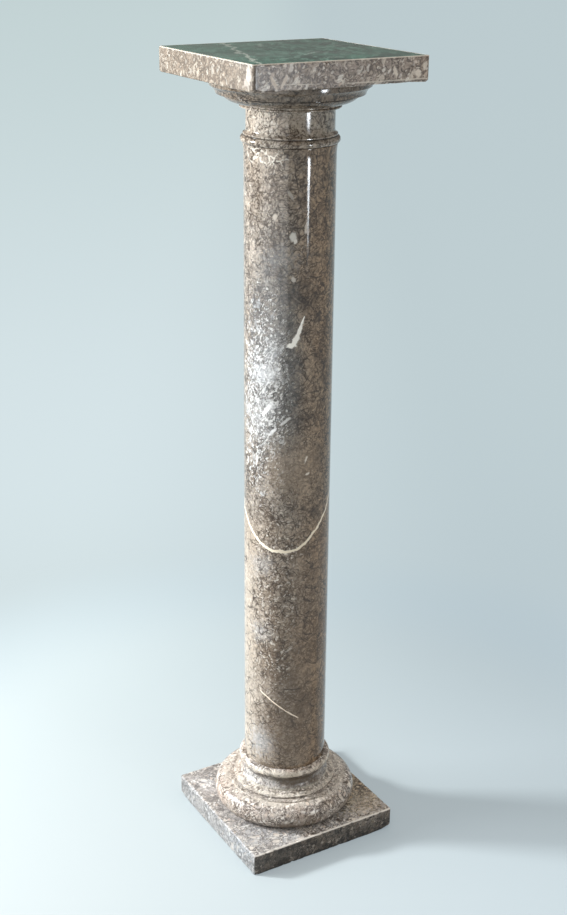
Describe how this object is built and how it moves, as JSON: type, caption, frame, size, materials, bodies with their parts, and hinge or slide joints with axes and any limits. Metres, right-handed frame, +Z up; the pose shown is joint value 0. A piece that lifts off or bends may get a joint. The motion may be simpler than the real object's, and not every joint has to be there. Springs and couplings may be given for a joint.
{
  "type": "doric column",
  "caption": "Free-standing marble column pedestal: plain round shaft, turned base and capital, square foot slab, and a square top slab with a green stone inlay to set a bust or vase on.",
  "frame": {"origin": "centre of the foot slab's underside, on the column's axis", "axes": "+Z up along the shaft, X and Y square to the sides of the two slabs"},
  "size_m": [0.242, 0.242, 1.1],
  "materials": {
    "brown_marble": "polished brown-grey fossil marble, densely flecked with cream and white shell, with a few pale veins; arrises a little worn",
    "green_marble": "polished grey-green serpentine marble with thin white veins"
  },
  "bodies": {
    "root": {"plinth": "brown_marble", "base": "brown_marble", "shaft": "brown_marble", "capital": "brown_marble", "abacus": "brown_marble", "green_top": "green_marble"}
  },
  "joints": []
}
